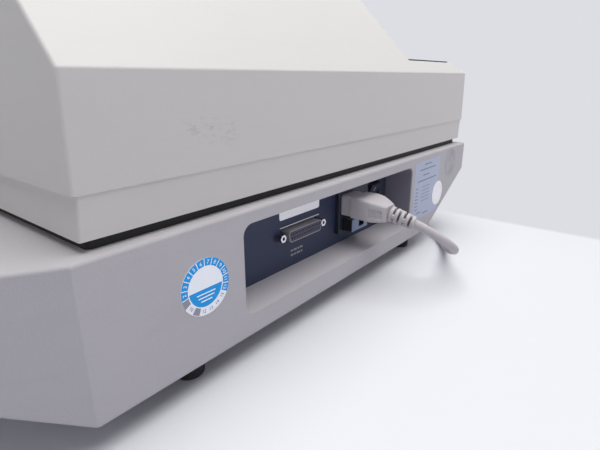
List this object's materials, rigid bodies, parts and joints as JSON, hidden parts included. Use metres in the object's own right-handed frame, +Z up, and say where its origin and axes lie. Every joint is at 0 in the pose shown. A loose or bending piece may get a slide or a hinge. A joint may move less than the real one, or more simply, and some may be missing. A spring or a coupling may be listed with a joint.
{
  "type": "thermal cycler",
  "caption": "Bench thermal cycler: low base, humped case, hinged heated lid over a sample block, sloping keypad, rear connector bay and mains lead.",
  "frame": {"origin": "on the surface that the feet stand on, under the middle of the base's outline", "axes": "+X to the operator's right along the base's length, +Y to the rear with the connector bay, +Z up"},
  "size_m": [0.5897, 0.43, 0.2812],
  "materials": {
    "cover_shell": "fine-textured moulded",
    "base_shell": "fine-textured moulded",
    "grey_plastic": "satin moulded",
    "black_plastic": "satin moulded",
    "knob_plastic": "satin moulded",
    "dark_panel": "matt",
    "key_light": "matt",
    "key_dark": "matt",
    "display_glass": "clear",
    "lamp_lens": "clear red",
    "rubber": "matt",
    "steel": "nickel plated",
    "zinc_steel": "zinc plated",
    "aluminium": "machined",
    "ceramic": "white ceramic",
    "circuit_board": "solder mask",
    "drawer_plastic": "satin",
    "lead_plastic": "soft moulded"
  },
  "bodies": {
    "case": {"base_housing": "base_shell", "base_plate": "zinc_steel", "rubber_feet": "rubber", "foot_screws": "steel", "neck_ring": "black_plastic", "lower_band": "cover_shell", "top_cover": "cover_shell", "compartment_liner": "grey_plastic", "sample_block": "aluminium", "peltier_modules": "ceramic", "heat_sink": "aluminium", "fan_frame": "black_plastic", "chassis": "zinc_steel", "power_supply": "zinc_steel", "control_board": "circuit_board", "hinge_bases": "steel", "hinge_pins": "steel", "control_panel": "dark_panel", "display_window": "display_glass", "display_module": "black_plastic", "indicator_lights": "lamp_lens", "keypad_board": "circuit_board", "connector_panel": "dark_panel", "serial_shell": "steel", "serial_insert": "black_plastic", "jack_screws": "steel", "power_inlet": "black_plastic", "inlet_blades": "steel", "mains_connector": "lead_plastic", "strain_relief": "lead_plastic", "mains_cord": "lead_plastic", "cord_coil": "lead_plastic", "cord_tail": "lead_plastic", "wall_plug": "lead_plastic"},
    "lid": {"lid_shell": "cover_shell", "lid_liner": "grey_plastic", "hinge_leaves": "steel"},
    "knob": {"lid_knob": "knob_plastic", "knob_spindle": "steel"},
    "press_plate": {"heated_plate": "aluminium"},
    "fan": {"fan_rotor": "black_plastic"},
    "rocker": {"switch_rocker": "black_plastic"},
    "fuse_tray": {"fuse_drawer": "drawer_plastic", "fuses": "steel"},
    "key_1_cap": {"key_1": "key_light"},
    "key_2_cap": {"key_2": "key_light"},
    "key_3_cap": {"key_3": "key_light"},
    "key_up_cap": {"key_up": "key_dark"},
    "key_4_cap": {"key_4": "key_light"},
    "key_5_cap": {"key_5": "key_light"},
    "key_6_cap": {"key_6": "key_light"},
    "key_down_cap": {"key_down": "key_dark"},
    "key_7_cap": {"key_7": "key_light"},
    "key_8_cap": {"key_8": "key_light"},
    "key_9_cap": {"key_9": "key_light"},
    "key_start_cap": {"key_start": "key_dark"},
    "key_point_cap": {"key_point": "key_light"},
    "key_0_cap": {"key_0": "key_light"},
    "key_enter_cap": {"key_enter": "key_dark"},
    "key_stop_cap": {"key_stop": "key_dark"}
  },
  "joints": [
    {"name": "lid_hinge", "type": "hinge", "parent": "case", "child": "lid", "pos_m": [0.012, 0.088, 0.247], "axis": [-1, 0, 0], "range_deg": [0, 80]},
    {"name": "knob_turn", "type": "hinge", "parent": "lid", "child": "knob", "pos_m": [0.012, 0.002, 0.262], "axis": [0, 0, -1], "range_deg": [0, 360]},
    {"name": "plate_press", "type": "slide", "parent": "lid", "child": "press_plate", "axis": [0, 0, -1], "range_m": [0, 0.006]},
    {"name": "fan_spin", "type": "hinge", "parent": "case", "child": "fan", "pos_m": [0.012, 0.002, 0.1], "axis": [0, 0, 1], "continuous": true},
    {"name": "rocker_throw", "type": "hinge", "parent": "case", "child": "rocker", "pos_m": [-0.0995, 0.1568, 0.0654], "axis": [1, 0, 0], "range_deg": [0, 20]},
    {"name": "fuse_tray_slide", "type": "slide", "parent": "case", "child": "fuse_tray", "axis": [0, 1, 0], "range_m": [0, 0.018]},
    {"name": "key_1_press", "type": "slide", "parent": "case", "child": "key_1_cap", "axis": [0, 0.1099, -0.9939], "range_m": [0, 0.002], "stiffness_N_per_m": 300},
    {"name": "key_2_press", "type": "slide", "parent": "case", "child": "key_2_cap", "axis": [0, 0.1099, -0.9939], "range_m": [0, 0.002], "stiffness_N_per_m": 300},
    {"name": "key_3_press", "type": "slide", "parent": "case", "child": "key_3_cap", "axis": [0, 0.1099, -0.9939], "range_m": [0, 0.002], "stiffness_N_per_m": 300},
    {"name": "key_up_press", "type": "slide", "parent": "case", "child": "key_up_cap", "axis": [0, 0.1099, -0.9939], "range_m": [0, 0.002], "stiffness_N_per_m": 300},
    {"name": "key_4_press", "type": "slide", "parent": "case", "child": "key_4_cap", "axis": [0, 0.1099, -0.9939], "range_m": [0, 0.002], "stiffness_N_per_m": 300},
    {"name": "key_5_press", "type": "slide", "parent": "case", "child": "key_5_cap", "axis": [0, 0.1099, -0.9939], "range_m": [0, 0.002], "stiffness_N_per_m": 300},
    {"name": "key_6_press", "type": "slide", "parent": "case", "child": "key_6_cap", "axis": [0, 0.1099, -0.9939], "range_m": [0, 0.002], "stiffness_N_per_m": 300},
    {"name": "key_down_press", "type": "slide", "parent": "case", "child": "key_down_cap", "axis": [0, 0.1099, -0.9939], "range_m": [0, 0.002], "stiffness_N_per_m": 300},
    {"name": "key_7_press", "type": "slide", "parent": "case", "child": "key_7_cap", "axis": [0, 0.1099, -0.9939], "range_m": [0, 0.002], "stiffness_N_per_m": 300},
    {"name": "key_8_press", "type": "slide", "parent": "case", "child": "key_8_cap", "axis": [0, 0.1099, -0.9939], "range_m": [0, 0.002], "stiffness_N_per_m": 300},
    {"name": "key_9_press", "type": "slide", "parent": "case", "child": "key_9_cap", "axis": [0, 0.1099, -0.9939], "range_m": [0, 0.002], "stiffness_N_per_m": 300},
    {"name": "key_start_press", "type": "slide", "parent": "case", "child": "key_start_cap", "axis": [0, 0.1099, -0.9939], "range_m": [0, 0.002], "stiffness_N_per_m": 300},
    {"name": "key_point_press", "type": "slide", "parent": "case", "child": "key_point_cap", "axis": [0, 0.1099, -0.9939], "range_m": [0, 0.002], "stiffness_N_per_m": 300},
    {"name": "key_0_press", "type": "slide", "parent": "case", "child": "key_0_cap", "axis": [0, 0.1099, -0.9939], "range_m": [0, 0.002], "stiffness_N_per_m": 300},
    {"name": "key_enter_press", "type": "slide", "parent": "case", "child": "key_enter_cap", "axis": [0, 0.1099, -0.9939], "range_m": [0, 0.002], "stiffness_N_per_m": 300},
    {"name": "key_stop_press", "type": "slide", "parent": "case", "child": "key_stop_cap", "axis": [0, 0.1099, -0.9939], "range_m": [0, 0.002], "stiffness_N_per_m": 300}
  ],
  "couplings": [
    {"joint": "plate_press", "follows": "knob_turn", "m_per_rad": 0.000954}
  ]
}
